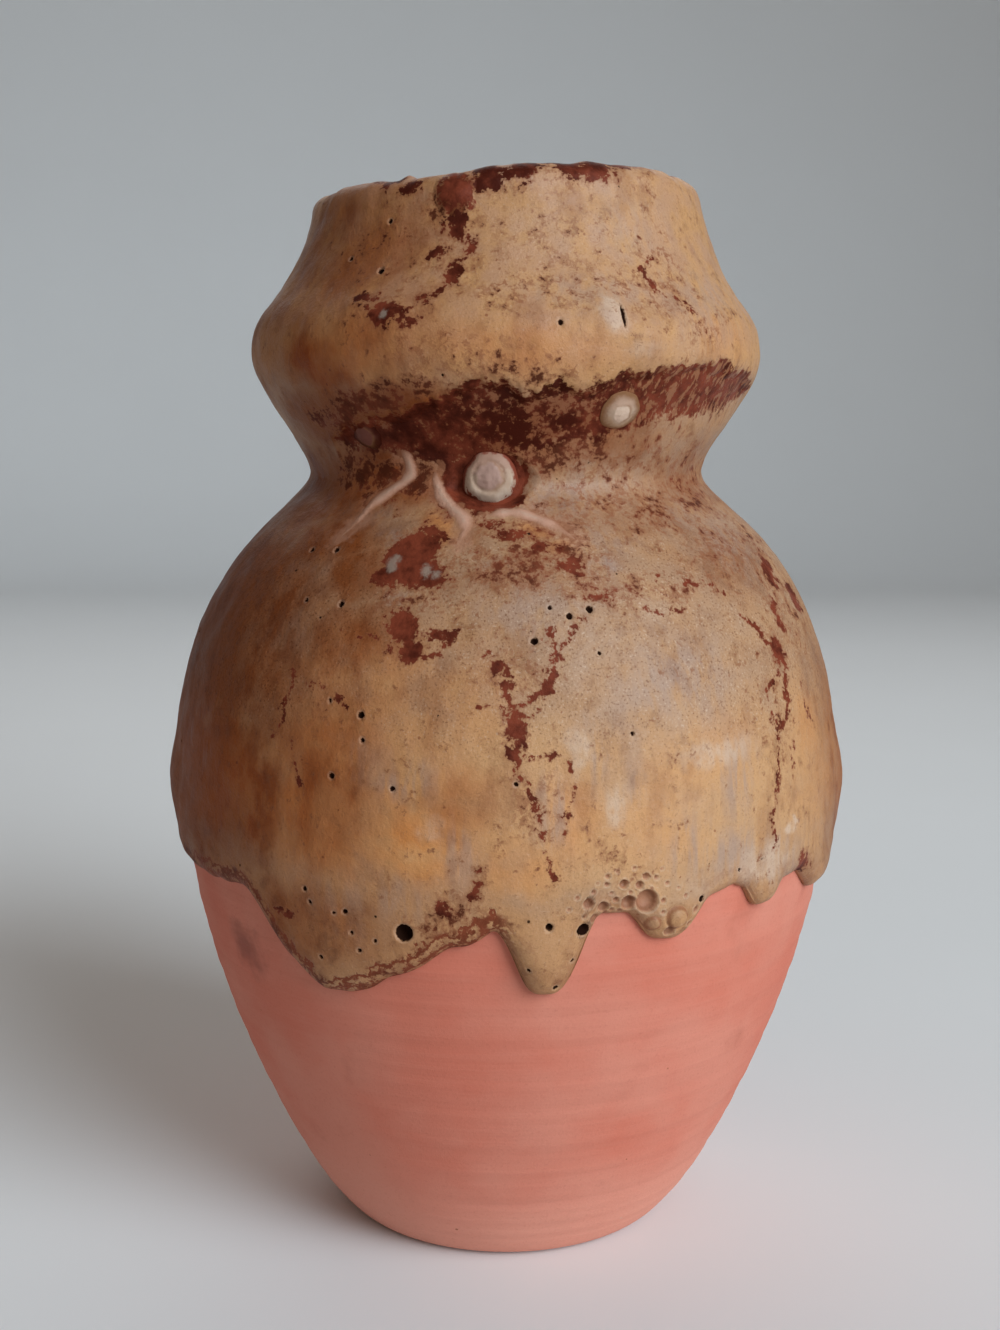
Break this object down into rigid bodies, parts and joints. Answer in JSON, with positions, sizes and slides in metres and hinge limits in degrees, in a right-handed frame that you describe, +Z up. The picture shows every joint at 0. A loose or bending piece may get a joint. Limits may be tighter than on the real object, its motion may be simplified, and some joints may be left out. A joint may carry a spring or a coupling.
{
  "type": "vase",
  "caption": "Bulbous terracotta vase with a flared collar and narrow neck, coated in thick ochre lava glaze that runs down over the bare clay; holds water and cut stems.",
  "frame": {"origin": "centre of the standing ring, on the standing plane", "axes": "+Z up through the mouth, -Y towards the front shown in the picture, +X to the right"},
  "size_m": [0.1564, 0.1564, 0.24],
  "materials": {
    "terracotta": "unglazed matt red clay",
    "liner_glaze": "glossy brown",
    "base_glaze": "glossy iron red",
    "lava_glaze": "mottled ochre, satin, pitted",
    "bead_pink": "glossy pale pink",
    "bead_cream": "glossy cream",
    "bead_grey": "glossy pinkish grey",
    "rim_drop": "glossy dark red",
    "trail_pale": "glossy pale ochre",
    "trail_orange": "glossy pale orange"
  },
  "bodies": {
    "root": {"terracotta_body": "terracotta", "liner_glaze": "liner_glaze", "base_glaze": "base_glaze", "lava_glaze": "lava_glaze", "bead_front": "bead_pink", "bead_right": "bead_cream", "bead_left": "bead_grey", "rim_drop": "rim_drop", "trail_left": "trail_pale", "trail_middle": "trail_pale", "trail_right": "trail_orange"}
  },
  "joints": []
}
